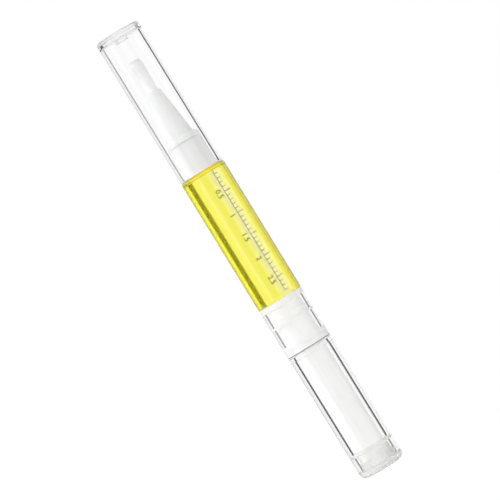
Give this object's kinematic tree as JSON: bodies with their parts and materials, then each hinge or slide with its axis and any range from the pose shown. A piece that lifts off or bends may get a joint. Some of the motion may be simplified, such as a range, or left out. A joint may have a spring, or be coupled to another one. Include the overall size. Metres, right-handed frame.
{
  "type": "twist-up nail oil pen",
  "caption": "Slim clear twist-up pen that feeds nail oil to a brush tip under a clear pull-off cap: a turning knob screws a piston up the oil chamber.",
  "frame": {"origin": "centre of the flat tail face that the pen stands on", "axes": "+Z along the pen's axis towards the brush and cap; the pen is round about Z, and the rod's flats face +Y and -Y"},
  "size_m": [0.0122, 0.0122, 0.128],
  "materials": {
    "clear_shell": "gloss",
    "clear_plug": "gloss",
    "nail_oil": "gloss",
    "nozzle_white": "satin",
    "bristle_white": "matte",
    "feed_tube_clear": "gloss",
    "piston_white": "satin",
    "rod_white": "satin",
    "core_white": "satin",
    "scale_ink": "matte"
  },
  "bodies": {
    "pen_barrel": {"barrel": "clear_shell", "nozzle": "nozzle_white", "metering_plug": "nozzle_white", "feed_tube": "feed_tube_clear", "tuft_base": "nozzle_white", "bristle_tuft": "bristle_white", "oil_fill": "nail_oil", "thread_nut": "core_white", "retainer_ring": "core_white"},
    "pen_cap": {"cap": "clear_shell"},
    "twist_knob": {"knob_sleeve": "clear_shell", "drive_tube": "core_white", "click_ring": "core_white", "tail_plug": "clear_plug"},
    "feed_rod": {"screw_rod": "rod_white"},
    "plunger": {"piston": "piston_white"}
  },
  "joints": [
    {"name": "cap_pull", "type": "slide", "parent": "pen_barrel", "child": "pen_cap", "axis": [0, 0, 1], "range_m": [0, 0.04]},
    {"name": "knob_twist", "type": "hinge", "parent": "pen_barrel", "child": "twist_knob", "pos_m": [0, 0, 0.0355], "axis": [0, 0, 1], "range_deg": [0, 4320]},
    {"name": "rod_feed", "type": "slide", "parent": "twist_knob", "child": "feed_rod", "axis": [0, 0, 1], "range_m": [0, 0.03]},
    {"name": "piston_feed", "type": "slide", "parent": "pen_barrel", "child": "plunger", "axis": [0, 0, 1], "range_m": [0, 0.03], "deforming": ["oil_fill"]}
  ],
  "couplings": [
    {"joint": "knob_twist", "follows": "rod_feed", "rad_per_m": 2513.3},
    {"joint": "piston_feed", "follows": "rod_feed", "ratio": 1}
  ]
}
